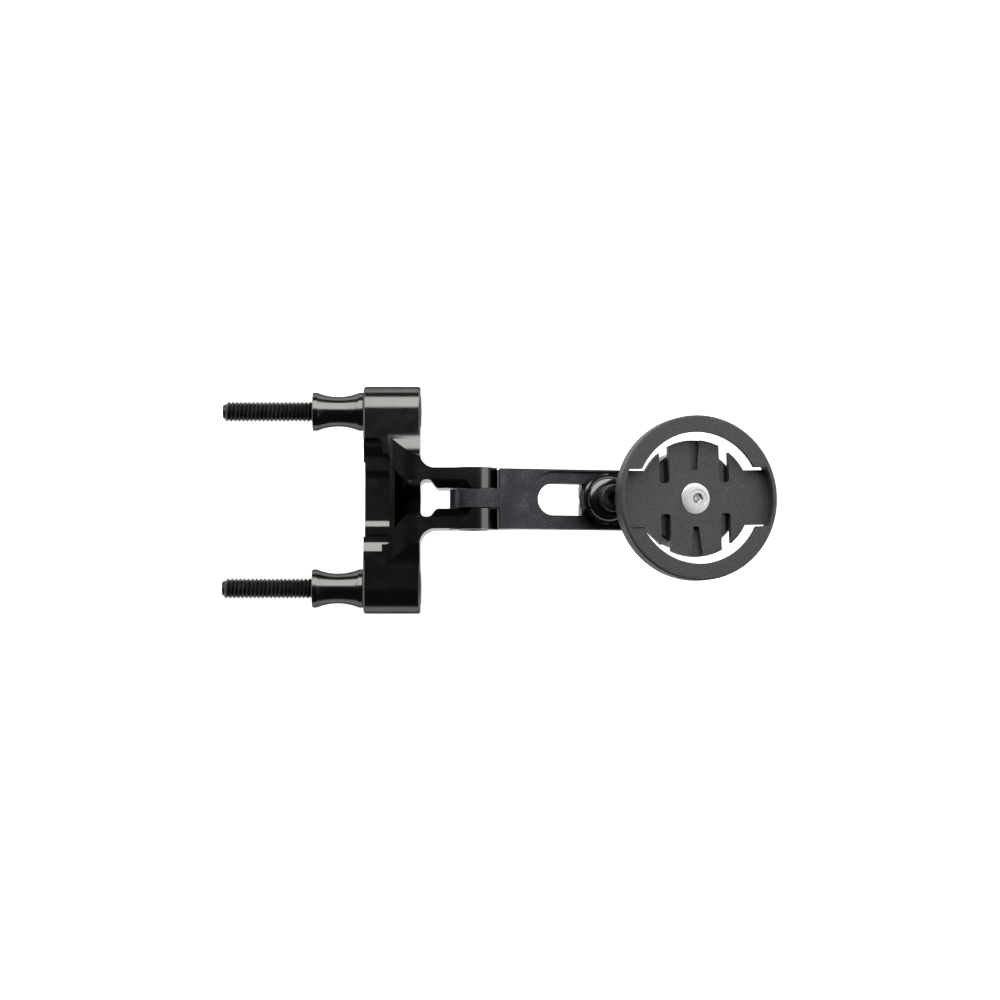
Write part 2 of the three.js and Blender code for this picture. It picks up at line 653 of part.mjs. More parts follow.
// ---------------------------------------------------------------- assembly
const FINISH = {
  glossyAnodised: { color: 0x141416, roughness: 0.22, metalness: 0.85 },
  mattAnodised: { color: 0x2a2a2e, roughness: 0.5, metalness: 0.6 },
  blackSteel: { color: 0x1a1a1b, roughness: 0.4, metalness: 0.8 },
  stainless: { color: 0xc9c9c6, roughness: 0.28, metalness: 1.0 },
  nylon: { color: 0x3a3a3c, roughness: 0.7, metalness: 0.0 },
  acetal: { color: 0xd8d6cf, roughness: 0.5, metalness: 0.0 },
};

function place(group, name, shape, finish, position = [0, 0, 0]) {
  const material = new THREE.MeshStandardMaterial(FINISH[finish]);
  const mesh = new THREE.Mesh(geometryOf(shape), material);
  mesh.name = name;
  mesh.position.set(...position);
  group.add(mesh);
  return mesh;
}

const holder = new THREE.Group();
place(holder, "stem_bracket", bracketShape(), "glossyAnodised");

for (const [side, name] of [[1, "left"], [-1, "right"]]) {
  const y = side * STEM_BOLT.spread;
  const washerX = STEM_BOLT.seatX + GAP;
  const headX = washerX + WASHER.thickness + GAP;
  const washer = ring(WASHER.radius, STEM_BOLT.hole, 0, WASHER.thickness, "x", 24);
  place(holder, `stem_bolt_${name}`, capScrew(STEM_BOLT), "blackSteel", [headX, y, 0]);
  place(holder, `stem_bolt_washer_${name}`, washer, "blackSteel", [washerX, y, 0]);
  place(holder, `stem_spacer_${name}`, spacerShape(), "glossyAnodised", [BAR.back - GAP, y, 0]);
}

const hinge = new THREE.Group();
hinge.position.set(HINGE.x, 0, HINGE.z);
holder.add(hinge);
const boltLength = HINGE_BOLT.seat * 2 + HINGE_BOLT.nutHeight;
const hingeScrew = buttonScrew({ ...HINGE_BOLT, length: boltLength });
const hingeBolt = place(hinge, "hinge_bolt", hingeScrew, "blackSteel", [0, HINGE_BOLT.seat + GAP, 0]);
hingeBolt.rotation.x = -Math.PI / 2;
const nut = hexagon(HINGE_BOLT.nutAcross, 0, HINGE_BOLT.nutHeight, "y")
  .subtract(rod(HINGE_BOLT.hole, -1, REACH, "y", 24));
const nutY = -HINGE_BOLT.seat - GAP - HINGE_BOLT.nutHeight;
place(hinge, "hinge_nut", nut, "blackSteel", [0, nutY, 0]);

const tilted = new THREE.Group();
tilted.rotation.y = THREE.MathUtils.degToRad(ARM_TILT);
hinge.add(tilted);
place(tilted, "slotted_arm", armShape(), "mattAnodised");
for (const [side, name] of [[1, "left"], [-1, "right"]]) {
  const { radius, bore, thickness } = HINGE_WASHER;
  const washer = ring(radius, bore, -thickness / 2, thickness / 2, "y");
  const y = side * (ARM.tongue - thickness / 2 + GAP);
  place(tilted, `hinge_washer_${name}`, washer, "acetal", [0, y, 0]);
}

const clamp = new THREE.Group();
clamp.position.x = CLAMP_X;
tilted.add(clamp);
place(clamp, "barrel_nut", barrelNutShape(), "blackSteel");
place(clamp, "slot_washer", slotWasherShape(), "acetal");
place(clamp, "seat_washer", seatWasherShape(), "mattAnodised");
place(clamp, "carrier", carrierShape(), "glossyAnodised");
place(clamp, "cap_washer", capWasherShape(), "stainless");
const clampScrew = capScrew({ ...CLAMP_BOLT, length: CAP_TOP + GAP - ARM_BOTTOM + 1.5 });
const clampBolt = place(clamp, "clamp_bolt", clampScrew, "blackSteel", [0, 0, CAP_TOP + GAP]);
clampBolt.rotation.y = -Math.PI / 2;

const cup = new THREE.Group();
cup.position.x = OFFSET;
cup.rotation.z = THREE.MathUtils.degToRad(CUP_TURN);
clamp.add(cup);
place(cup, "quarter_turn_cup", cupShape(), "nylon");
place(cup, "cup_screw", cupScrewShape(), "stainless");
for (const [side, name] of [[1, "left"], [-1, "right"]]) {
  const pin = rod(PIN.radius, PIN.bottom, PIN.top, "z", 16);
  place(cup, `cup_pin_${name}`, pin, "stainless", [0, side * PIN.spread, 0]);
}

export default holder;
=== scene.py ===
"""Looks of an out-front holder for a cycling computer: machined, anodised, moulded and turned pieces.

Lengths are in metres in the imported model's own frame: +X away from the stem, +Z up.
"""

import json
import math

import bmesh
import bpy
from mathutils import Matrix, Vector


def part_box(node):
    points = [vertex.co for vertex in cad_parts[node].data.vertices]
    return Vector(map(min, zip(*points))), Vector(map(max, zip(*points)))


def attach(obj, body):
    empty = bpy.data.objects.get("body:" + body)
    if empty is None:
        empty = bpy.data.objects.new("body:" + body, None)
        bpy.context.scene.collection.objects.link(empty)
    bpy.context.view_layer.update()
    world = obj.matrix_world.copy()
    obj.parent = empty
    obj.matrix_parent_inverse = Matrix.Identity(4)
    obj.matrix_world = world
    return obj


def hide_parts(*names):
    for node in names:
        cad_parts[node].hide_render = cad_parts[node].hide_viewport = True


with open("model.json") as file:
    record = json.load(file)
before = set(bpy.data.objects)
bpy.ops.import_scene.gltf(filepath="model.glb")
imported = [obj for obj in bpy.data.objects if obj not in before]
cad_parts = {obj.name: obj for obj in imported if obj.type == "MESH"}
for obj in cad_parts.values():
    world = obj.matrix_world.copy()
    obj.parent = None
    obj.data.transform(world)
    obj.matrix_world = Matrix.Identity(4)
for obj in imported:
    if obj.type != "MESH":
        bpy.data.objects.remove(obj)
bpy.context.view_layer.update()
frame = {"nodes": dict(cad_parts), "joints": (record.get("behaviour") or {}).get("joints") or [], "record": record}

MM = 0.001
NODES = frame["nodes"]
JOINTS = {joint["name"]: joint for joint in frame["joints"]}
BODY_OF = {
    node: body
    for body, members in frame["record"]["behaviour"]["bodies"].items()
    for node in members
}
SLOT_OF = {part["node"]: part["material_slot"] for part in frame["record"]["subparts"]}

# ------------------------------------------------------------------ sizes
CREASE = math.radians(32)  # edges sharper than this stay crisp on a turned piece
MILLED_CREASE = math.radians(15)  # and on a milled one, whose arcs are in finer steps
ROUND_STEPS = 96  # round a turned piece
SMOOTH_ROUND_STEPS = 128  # round one with a long curved side
PIN_STEPS = 32
BEVEL_STEPS = 2
WELD_DISTANCE = 0.002 * MM  # vertices nearer than this are one
SLIVER_LENGTH = 0.01 * MM
FLAT_ANGLE = math.radians(0.6)  # faces that turn less than this are one flat

SHANK_RADIUS = 1.5 * MM  # the M3 screws in the hinge, the clamp and the cup
FINE_PITCH = 0.5 * MM  # theirs
STEM_SHANK = 2.06 * MM
STEM_PITCH = 0.8 * MM  # the stem bolts', a little coarser than M4's 0.7 mm
STEM_BORE = 2.15 * MM  # through the washers and spacers on the stem bolts
STEM_BOLT_HEAD = 4.0 * MM
STEM_BOLT_KEY = 3.0 * MM
HINGE_BOLT_HEAD = 1.65 * MM
HINGE_BOLT_KEY = 2.0 * MM
HINGE_WASHER_BORE = 1.65 * MM
CLAMP_BOLT_HEAD = 2.6 * MM
CLAMP_BOLT_KEY = 2.5 * MM
SEAT_WASHER_BORE = 1.7 * MM
CUP_SCREW_KEY = 2.0 * MM
LOW_SOCKET_DEPTH = 1.0 * MM  # of the keys in the hinge bolt and the cup screw
SOCKET_CLEAR = 1.0 * MM  # how far a socket's cutter stands out of its head
SINK = 0.02 * MM  # how far a shank runs into its head

HEAD_EDGE = 0.35 * MM  # the rounded top edge of a cap screw's head
HEAD_CHAMFER = 0.15 * MM  # and the slanted one under it
HEAD_FLAT = 0.72  # the flat round its socket, as a share of its radius
KNURL_DEPTH = 0.08 * MM
KNURL_RIDGE = 0.17 * MM
KNURL_SPACING = 0.6 * MM  # between the fine ridges round the head
KNURL_FOOT = 0.4 * MM  # from the head's seat up to the ridges
KNURL_GAP = 0.2 * MM  # from the ridges up to the rounded edge

RIDGE_SHARE = 0.48  # a thread's ridge over its pitch, so that ridges all but meet
CORE_SHARE = 1.3  # how deep the core lies under the crest, in ridges
TIP_SHARE = 0.7  # the tapered tip's length over the pitch
BLUNT_SHARE = 0.85  # the tip's end over the core

RIM_CHAMFER = 0.1 * MM
WASHER_EDGE = 0.12 * MM
SPACER_WAIST = 2.95 * MM
SPACER_LAND = 0.85 * MM  # the straight rim at each end
SPACER_EDGE = 0.12 * MM
PIN_EDGE = 0.2 * MM
SIDES = ("left", "right")


# ------------------------------------------------------------------ local frames
def frame_along(origin, axis, right=(0, 1, 0)):
    """A frame at origin with its third axis along axis and its second as near right as it can be."""
    third = Vector(axis).normalized()
    first = Vector(right).cross(third).normalized()
    second = third.cross(first)
    turn = Matrix((first, second, third)).transposed().to_4x4()
    return Matrix.Translation(Vector(origin)) @ turn


def middle(node):
    low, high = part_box(node)
    return (low + high) / 2


def bolt_frame(node):
    """A frame on the axis of a stem bolt, or of a piece on one, from the stem face away from it."""
    return frame_along((0, middle(node).y, middle(node).z), (1, 0, 0))


def span(node, place):
    """How far a CAD node reaches along a frame's third axis, and its greatest radius round it."""
    inside = place.inverted()
    points = [inside @ v.co for v in NODES[node].data.vertices]
    heights = [p.z for p in points]
    radius = max(math.hypot(p.x, p.y) for p in points)
    return min(heights), max(heights), radius


HINGE = Vector(JOINTS["arm_tilt"]["pos_m"])
CLAMP = Vector(JOINTS["head_swivel"]["pos_m"])
ARM_NORMAL = Vector(JOINTS["head_swivel"]["axis"])
ARM_RUN = Vector(JOINTS["slot_slide"]["axis"])
CLAMP_FRAME = frame_along(CLAMP, ARM_NORMAL)
HINGE_FRAME = frame_along(HINGE, (0, 1, 0), (0, 0, 1))
CUP_OFFSET = (middle("cup_screw") - CLAMP).dot(ARM_RUN)
CUP_FRAME = frame_along(CLAMP + CUP_OFFSET * ARM_RUN, ARM_NORMAL)


# ------------------------------------------------------------------ meshes
def show(name, data):
    """A new object in the scene."""
    thing = bpy.data.objects.new(name, data)
    bpy.context.scene.collection.objects.link(thing)
    return thing


def new_piece(name, points, faces, place=Matrix.Identity(4)):
    """A mesh object at the origin, with its place in its mesh."""
    mesh = bpy.data.meshes.new(name)
    mesh.from_pydata([place @ Vector(p) for p in points], [], faces)
    return show(name, mesh)


def settle(piece):
    """Applies a piece's modifiers."""
    evaluated = piece.evaluated_get(bpy.context.evaluated_depsgraph_get())
    mesh = bpy.data.meshes.new_from_object(evaluated)
    piece.modifiers.clear()
    old = piece.data
    piece.data = mesh
    bpy.data.meshes.remove(old)


def smooth(piece, crease=CREASE):
    """Shades a piece smooth up to its creases."""
    piece.data.shade_smooth()
    piece.data.set_sharp_from_angle(angle=crease)


def revolve(name, profile, place, segments=ROUND_STEPS):
    """Turns (radius, height) points about a frame's third axis; a profile ends on the axis or closes."""
    closed = profile[0] == profile[-1]
    rows = profile[:-1] if closed else profile
    points = []
    index = []
    for radius, height in rows:
        if radius == 0:
            index.append([len(points)] * segments)
            points.append((0, 0, height))
            continue
        index.append(list(range(len(points), len(points) + segments)))
        for i in range(segments):
            angle = math.tau * i / segments
            points.append((radius * math.cos(angle), radius * math.sin(angle), height))
    faces = []
    following = index[1:] + index[:1] if closed else index[1:]
    for lower, upper in zip(index, following):
        for i in range(segments):
            j = (i + 1) % segments
            corners = [lower[i], lower[j], upper[j], upper[i]]
            face = list(dict.fromkeys(corners))
            if len(face) > 2:
                faces.append(face)
    return new_piece(name, points, faces, place)


def arc(centre, radius, start, end, steps=6):
    """Points on an arc in a (radius, height) profile, angles in degrees."""
    turns = [math.radians(start + (end - start) * i / steps) for i in range(steps + 1)]
    return [(centre[0] + radius * math.cos(t), centre[1] + radius * math.sin(t)) for t in turns]


def hexagon_socket(piece, place, across, low, high):
    """Cuts a six-sided key socket between two heights on a frame's axis, with a drilled foot."""
    corner = across / math.sqrt(3)
    drilled = 0.82 * corner
    drill_point = 0.35 * across
    profile = [(0, low - drill_point), (drilled, low), (corner, low), (corner, high), (0, high)]
    cutter = revolve("key_socket", profile, place, segments=6)
    cut = piece.modifiers.new("socket", "BOOLEAN")
    cut.operation = "DIFFERENCE"
    cut.solver = "EXACT"
    cut.object = cutter
    bpy.context.view_layer.update()
    settle(piece)
    bpy.data.objects.remove(cutter)


def machined_copy(node, edge):
    """A CAD node's own shape with its flats joined and its edges broken by a small bevel."""
    mesh = NODES[node].data.copy()
    mesh.name = node + "_finished"
    mesh.materials.clear()
    work = bmesh.new()
    work.from_mesh(mesh)
    bmesh.ops.remove_doubles(work, verts=work.verts, dist=WELD_DISTANCE)
    bmesh.ops.dissolve_limit(work, angle_limit=FLAT_ANGLE, verts=work.verts, edges=work.edges)
    bmesh.ops.dissolve_degenerate(work, edges=work.edges, dist=SLIVER_LENGTH)
    work.to_mesh(mesh)
    work.free()
    for layer in [a.name for a in mesh.attributes if a.name in ("custom_normal", "sharp_face")]:
        mesh.attributes.remove(mesh.attributes[layer])
    piece = show(mesh.name, mesh)
    bevel = piece.modifiers.new("broken_edges", "BEVEL")
    bevel.width = edge
    bevel.segments = BEVEL_STEPS
    bevel.limit_method = "ANGLE"
    bevel.angle_limit = MILLED_CREASE
    bevel.miter_outer = "MITER_ARC"
    bevel.use_clamp_overlap = True
    smooth(piece, MILLED_CREASE)
    level = piece.modifiers.new("level_flats", "WEIGHTED_NORMAL")
    level.mode = "FACE_AREA"
    level.weight = 100
    level.keep_sharp = True
    settle(piece)
    return piece


# ------------------------------------------------------------------ colours and shader nodes
def linear(hex_colour):
    """An sRGB hex value as linear red, green, blue and alpha."""
    values = [int(hex_colour[i:i + 2], 16) / 255 for i in (1, 3, 5)]
    return [v / 12.92 if v <= 0.04045 else ((v + 0.055) / 1.055) ** 2.4 for v in values] + [1]


def add(tree, kind, settings=None, in_order=(), **inputs):
    """One node: settings are its properties; inputs, in order or by name, are values or links."""
    node = tree.nodes.new(kind)
    for key, value in (settings or {}).items():
        setattr(node, key, value)
    filled = list(zip(node.inputs, in_order))
    filled += [(node.inputs[key.replace("_", " ")], value) for key, value in inputs.items()]
    for socket, value in filled:
        if isinstance(value, bpy.types.NodeSocket):
            tree.links.new(value, socket)
        else:
            socket.default_value = value
    return node


def finish(name, **principled):
    """A new material, its tree, its Principled shader and its object coordinates."""
    material = bpy.data.materials.new(name)
    material.use_nodes = True
    tree = material.node_tree
    shader = tree.nodes["Principled BSDF"]
    for key, value in principled.items():
        shader.inputs[key.replace("_", " ")].default_value = value
    place = add(tree, "ShaderNodeTexCoord").outputs["Object"]
    return material, tree, shader, place


def wire(tree, shader, **links):
    """Links outputs to a shader's inputs."""
    for key, output in links.items():
        tree.links.new(output, shader.inputs[key.replace("_", " ")])


def ramp(tree, factor, stops):
    """A colour ramp through (position, hex colour) stops."""
    node = add(tree, "ShaderNodeValToRGB", Fac=factor)
    elements = node.color_ramp.elements
    while len(elements) < len(stops):
        elements.new(0.5)
    for element, (position, colour) in zip(elements, stops):
        element.position = position
        element.color = linear(colour)
    return node.outputs["Color"]


def spread(tree, factor, low, high, from_min=0.3, from_max=0.7):
    """A noise value carried onto a range."""
    node = add(tree, "ShaderNodeMapRange", Value=factor, From_Min=from_min, From_Max=from_max,
               To_Min=low, To_Max=high)
    return node.outputs["Result"]


def noise(tree, place, grain, detail=3.0, stretch=(1, 1, 1)):
    """Noise whose grains are about grain metres across, drawn out along an axis by stretch."""
    scale = [1 / (grain * s) for s in stretch]
    mapped = add(tree, "ShaderNodeMapping", Vector=place, Scale=scale)
    texture = add(tree, "ShaderNodeTexNoise", Vector=mapped.outputs["Vector"], Scale=1.0,
                  Detail=detail, Roughness=0.55)
    return texture.outputs["Fac"]


def bump(tree, shader, height, depth, strength):
    """Relief on a shader; depth is the pattern's height in metres."""
    node = add(tree, "ShaderNodeBump", Height=height, Distance=depth, Strength=strength)
    wire(tree, shader, Normal=node.outputs["Normal"])


def gloss_anodised_aluminium():
    """Milled, polished and black anodised: the dyed oxide lets little light back out of the metal."""
    material, tree, shader, place = finish(
        "gloss_black_anodised_aluminium", Metallic=1.0, Specular_Tint=(0.3, 0.3, 0.3, 1))
    clouds = noise(tree, place, 6 * MM)
    colour = ramp(tree, clouds, [(0.3, "#575655"), (0.7, "#5d5c5a")])
    # The cutter's passes run along X; the real lines are finer and are drawn coarse enough to show.
    lines = noise(tree, place, 0.14 * MM, 2.0, stretch=(60, 1, 1))
    smears = noise(tree, place, 2.2 * MM, 4.0)
    wire(tree, shader, Base_Color=colour, Roughness=spread(tree, smears, 0.16, 0.2))
    bump(tree, shader, lines, 0.008 * MM, 0.5)
    return material


def matt_anodised_aluminium():
    """Bead-blasted before it was anodised: an even dark grey with a fine sparkling grain."""
    material, tree, shader, place = finish(
        "matt_black_anodised_aluminium", Metallic=1.0, Specular_Tint=(0.5, 0.5, 0.5, 1))
    # The blasted grain is finer than this and is drawn coarse enough to show.
    grain = noise(tree, place, 0.16 * MM, 2.0)
    clouds = noise(tree, place, 5 * MM)
    fine = add(tree, "ShaderNodeMath", {"operation": "MULTIPLY"}, [grain, 0.65])
    mixed = add(tree, "ShaderNodeMath", {"operation": "MULTIPLY_ADD"},
                [clouds, 0.35, fine.outputs["Value"]])
    colour = ramp(tree, mixed.outputs["Value"],
                  [(0.3, "#2e2e31"), (0.5, "#3d3d41"), (0.72, "#606065")])
    wire(tree, shader, Base_Color=colour, Roughness=spread(tree, grain, 0.3, 0.44))
    bump(tree, shader, grain, 0.03 * MM, 0.6)
    return material


def black_oxide_steel():
    """Heat-blackened steel: nearly black, oily and a little uneven."""
    material, tree, shader, place = finish("black_oxide_steel", Metallic=0.85)
    clouds = noise(tree, place, 1.6 * MM, 4.0)
    colour = ramp(tree, clouds, [(0.3, "#252526"), (0.7, "#38383a")])
    wire(tree, shader, Base_Color=colour, Roughness=spread(tree, clouds, 0.24, 0.42))
    # The oxide's pits are finer than this and are drawn coarse enough to show.
    pits = noise(tree, place, 0.12 * MM, 2.0)
    bump(tree, shader, pits, 0.006 * MM, 0.4)
    return material


def turned_stainless_steel(centre, axis):
    """Bright stainless steel faced on a lathe: faint rings round its axis."""
    material, tree, shader, place = finish("turned_stainless_steel", Metallic=1.0)
    offset = add(tree, "ShaderNodeVectorMath", {"operation": "SUBTRACT"}, [place, centre])
    across = add(tree, "ShaderNodeVectorMath", {"operation": "CROSS_PRODUCT"},
                 [offset.outputs["Vector"], axis])
    radius = add(tree, "ShaderNodeVectorMath", {"operation": "LENGTH"}, [across.outputs["Vector"]])
    # The lathe's feed marks are finer than this and are drawn coarse enough to show.
    texture = add(tree, "ShaderNodeTexNoise", {"noise_dimensions": "1D"}, W=radius.outputs["Value"],
                  Scale=1 / (0.1 * MM), Detail=2.0)
    rings = texture.outputs["Fac"]
    colour = ramp(tree, rings, [(0.3, "#b8b8b7"), (0.7, "#d4d4d2")])
    wire(tree, shader, Base_Color=colour, Roughness=spread(tree, rings, 0.3, 0.4))
    bump(tree, shader, rings, 0.004 * MM, 0.5)
    return material


def moulded_nylon():
    """Glass-filled nylon from a spark-eroded mould: matt charcoal with a fine pebbled grain."""
    material, tree, shader, place = finish(
        "moulded_glass_filled_nylon", Metallic=0.0, IOR=1.53, Specular_IOR_Level=0.45)
    grain = noise(tree, place, 0.26 * MM, 3.0)
    flecks = noise(tree, place, 0.12 * MM, 1.0)
    clouds = noise(tree, place, 7 * MM)
    colour = ramp(tree, flecks, [(0.32, "#1c1c1d"), (0.5, "#262627"), (0.68, "#49494b")])
    shade = ramp(tree, clouds, [(0.3, "#e6e6e6"), (0.7, "#ffffff")])
    mix = add(tree, "ShaderNodeMix", {"data_type": "RGBA", "blend_type": "MULTIPLY"}, [1.0])
    # A mix node's colour sockets come after those for plain values and for vectors.
    tree.links.new(colour, mix.inputs[6])
    tree.links.new(shade, mix.inputs[7])
    wire(tree, shader, Base_Color=mix.outputs[2], Roughness=spread(tree, grain, 0.5, 0.7))
    bump(tree, shader, grain, 0.06 * MM, 0.8)
    return material


def black_acetal():
    """Machined black acetal: smooth, waxy and slightly glossy."""
    material, tree, shader, place = finish("machined_black_acetal", Metallic=0.0, IOR=1.48)
    clouds = noise(tree, place, 1.2 * MM)
    colour = ramp(tree, clouds, [(0.3, "#1b1b1c"), (0.7, "#252526")])
    wire(tree, shader, Base_Color=colour, Roughness=spread(tree, clouds, 0.34, 0.46))
    bump(tree, shader, noise(tree, place, 0.1 * MM), 0.005 * MM, 0.4)
    return material


MATERIALS = {
    "gloss_anodised": gloss_anodised_aluminium(),
    "matt_anodised": matt_anodised_aluminium(),
    "black_steel": black_oxide_steel(),
    "stainless": turned_stainless_steel(CUP_FRAME.translation, ARM_NORMAL),
    "nylon": moulded_nylon(),
    "acetal": black_acetal(),
}


def fit(piece, node):
    """Gives a finished piece the material for its node's slot and its node's body, and shows it in the node's
    place.
    """
    piece.data.materials.clear()
    piece.data.materials.append(MATERIALS[SLOT_OF[node]])
    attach(piece, BODY_OF[node])
    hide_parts(node)


# ------------------------------------------------------------------ fasteners
def size_tree(name, **sizes):
    """A geometry node tree with a material input and one named input for each size."""
    tree = bpy.data.node_groups.new(name, "GeometryNodeTree")
    sockets = {"Material": "NodeSocketMaterial", **{k.replace("_", " "): v for k, v in sizes.items()}}
    for label, kind in sockets.items():
        tree.interface.new_socket(label, in_out="INPUT", socket_type=kind)
    tree.interface.new_socket("Geometry", in_out="OUTPUT", socket_type="NodeSocketGeometry")
    return tree, tree.nodes.new("NodeGroupInput").outputs


def close_tree(tree, sizes, geometry):
    """Ends a geometry node tree: real geometry, its material, its output."""
    whole = add(tree, "GeometryNodeRealizeInstances", Geometry=geometry)
    clad = add(tree, "GeometryNodeSetMaterial", Geometry=whole.outputs["Geometry"],
               Material=sizes["Material"])
    add(tree, "NodeGroupOutput", Geometry=clad.outputs["Geometry"])
    return tree


def thread_tree():
    """A sharp ridge that winds up a helix."""
    tree, sizes = size_tree("screw_thread", Turns="NodeSocketFloat", Radius="NodeSocketFloat",
                            Height="NodeSocketFloat", Ridge="NodeSocketFloat")
    helix = add(tree, "GeometryNodeCurveSpiral", Resolution=40, Rotations=sizes["Turns"],
                Start_Radius=sizes["Radius"], End_Radius=sizes["Radius"], Height=sizes["Height"])
    upright = add(tree, "GeometryNodeSetCurveNormal", {"mode": "Z_UP"}, Curve=helix.outputs["Curve"])
    ridge = add(tree, "GeometryNodeCurvePrimitiveCircle", Resolution=4, Radius=sizes["Ridge"])
    swept = add(tree, "GeometryNodeCurveToMesh", Curve=upright.outputs["Curve"],
                Profile_Curve=ridge.outputs["Curve"], Fill_Caps=True)
    return close_tree(tree, sizes, swept.outputs["Mesh"])


def knurl_tree():
    """Upright ridges spaced evenly round a circle."""
    tree, sizes = size_tree("head_knurls", Count="NodeSocketInt", Radius="NodeSocketFloat",
                            Length="NodeSocketFloat", Ridge="NodeSocketFloat")
    circle = add(tree, "GeometryNodeCurvePrimitiveCircle", Resolution=sizes["Count"],
                 Radius=sizes["Radius"])
    ridge = add(tree, "GeometryNodeMeshCylinder", Vertices=8, Radius=sizes["Ridge"],
                Depth=sizes["Length"])
    placed = add(tree, "GeometryNodeInstanceOnPoints", Points=circle.outputs["Curve"],
                 Instance=ridge.outputs["Mesh"])
    return close_tree(tree, sizes, placed.outputs["Instances"])


THREADS = thread_tree()
KNURLS = knurl_tree()


def grown(tree, place, **sizes):
    """Runs a node tree with the given sizes and leaves what it made as a plain mesh in a frame."""
    piece = new_piece(tree.name, [], [])
    grow = piece.modifiers.new(tree.name, "NODES")
    grow.node_group = tree
    inputs = [item for item in tree.interface.items_tree if item.in_out == "INPUT"]
    identifiers = {item.name: item.identifier for item in inputs}
    for label, value in sizes.items():
        grow[identifiers[label]] = value
    settle(piece)
    piece.data.transform(place)
    return piece


def cap_head(place, seat, top, radius, key, material):
    """The pieces of a knurled socket head between two heights on its axis."""
    side = radius - KNURL_DEPTH
    profile = [(0, seat), (side - HEAD_CHAMFER, seat), (side, seat + HEAD_CHAMFER)]
    profile += arc((side - HEAD_EDGE, top - HEAD_EDGE), HEAD_EDGE, 0, 90)
    profile += [(HEAD_FLAT * radius, top), (0, top)]
    head = revolve("head", profile, place)
    hexagon_socket(head, place, key, (seat + top) / 2, top + SOCKET_CLEAR)
    grip_low = seat + KNURL_FOOT
    grip_high = top - HEAD_EDGE - KNURL_GAP
    centre = radius - KNURL_RIDGE
    ridges = grown(
        KNURLS, place @ Matrix.Translation((0, 0, (grip_low + grip_high) / 2)), Material=material,
        Count=round(math.tau * centre / KNURL_SPACING), Radius=centre,
        Length=grip_high - grip_low, Ridge=KNURL_RIDGE)
    return [head, ridges]


def threaded_shank(place, tip, top, radius, pitch, material):
    """The pieces of a threaded rod with a tapered tip: its core and its helical ridge."""
    ridge = RIDGE_SHARE * pitch
    core = radius - CORE_SHARE * ridge
    blunt = BLUNT_SHARE * core
    start = tip + TIP_SHARE * pitch
    rod = revolve("core", [(0, tip), (blunt, tip), (core, start), (core, top), (0, top)], place)
    height = top - start - ridge
    thread = grown(
        THREADS, place @ Matrix.Translation((0, 0, start)), Material=material,
        Turns=height / pitch, Radius=radius - ridge, Height=height, Ridge=ridge)
    return [rod, thread]


def joined(name, pieces):
    """Several pieces as one mesh object."""
    work = bmesh.new()
    for piece in pieces:
        work.from_mesh(piece.data)
        bpy.data.objects.remove(piece)
    mesh = bpy.data.meshes.new(name)
    work.to_mesh(mesh)
    work.free()
    return show(name, mesh)


def cap_screw(node, place, key, head_height, shank, pitch):
    """A socket-head cap screw over its node's whole length on a frame's axis."""
    low, high, rim = span(node, place)
    seat = high - head_height
    material = MATERIALS[SLOT_OF[node]]
    pieces = cap_head(place, seat, high, rim, key, material)
    pieces += threaded_shank(place, low, seat + SINK, shank, pitch, material)
    screw = joined(node + "_threaded", pieces)
    smooth(screw)
    fit(screw, node)


def stem_bolts():
    for side in SIDES:
        node = "stem_bolt_" + side
        cap_screw(node, bolt_frame(node), STEM_BOLT_KEY, STEM_BOLT_HEAD, STEM_SHANK, STEM_PITCH)


def clamp_screw():
    cap_screw("clamp_bolt", CLAMP_FRAME, CLAMP_BOLT_KEY, CLAMP_BOLT_HEAD, SHANK_RADIUS, FINE_PITCH)


def plain_washer(node, place, bore):
    """A flat washer with rounded edges that fills its node."""
    low, high, rim = span(node, place)
    edge = min(WASHER_EDGE, (high - low) / 2.2)
    inner = bore + edge
    outer = rim - edge
    corners = [(outer, low + edge, -90), (outer, high - edge, 0),
               (inner, high - edge, 90), (inner, low + edge, 180)]
    profile = []
    for radius, height, start in corners:
        profile += arc((radius, height), edge, start, start + 90, 3)
    washer = revolve(node + "_rounded", profile + profile[:1], place)
    smooth(washer)
    fit(washer, node)


def washers():
    for side in SIDES:
        node = "stem_bolt_washer_" + side
        plain_washer(node, bolt_frame(node), STEM_BORE)
        plain_washer("hinge_washer_" + side, HINGE_FRAME, HINGE_WASHER_BORE)
    plain_washer("seat_washer", CLAMP_FRAME, SEAT_WASHER_BORE)


def stem_spacers():
    """Waisted spacers: a narrow land at each end and one long hollow curve between them."""
    steps = 28
    edge = SPACER_EDGE
    for side in SIDES:
        node = "stem_spacer_" + side
        place = bolt_frame(node)
        low, high, rim = span(node, place)
        half = (high - low) / 2 - SPACER_LAND
        sag = rim - SPACER_WAIST
        sweep = (half ** 2 + sag ** 2) / (2 * sag)
        centre = (low + high) / 2
        hollow = []
        for i in range(steps + 1):
            along = half * (2 * i / steps - 1)
            radius = SPACER_WAIST + sweep - math.sqrt(sweep ** 2 - along ** 2)
            hollow.append((radius, centre + along))
        near = [(STEM_BORE, low + edge), (STEM_BORE + edge, low), (rim - edge, low),
                (rim, low + edge), (rim, low + SPACER_LAND - edge / 2)]
        far = [(rim, high - SPACER_LAND + edge / 2), (rim, high - edge), (rim - edge, high),
               (STEM_BORE + edge, high), (STEM_BORE, high - edge)]
        profile = near + hollow + far
        spacer = revolve(node + "_turned", profile + profile[:1], place, SMOOTH_ROUND_STEPS)
        smooth(spacer)
        fit(spacer, node)


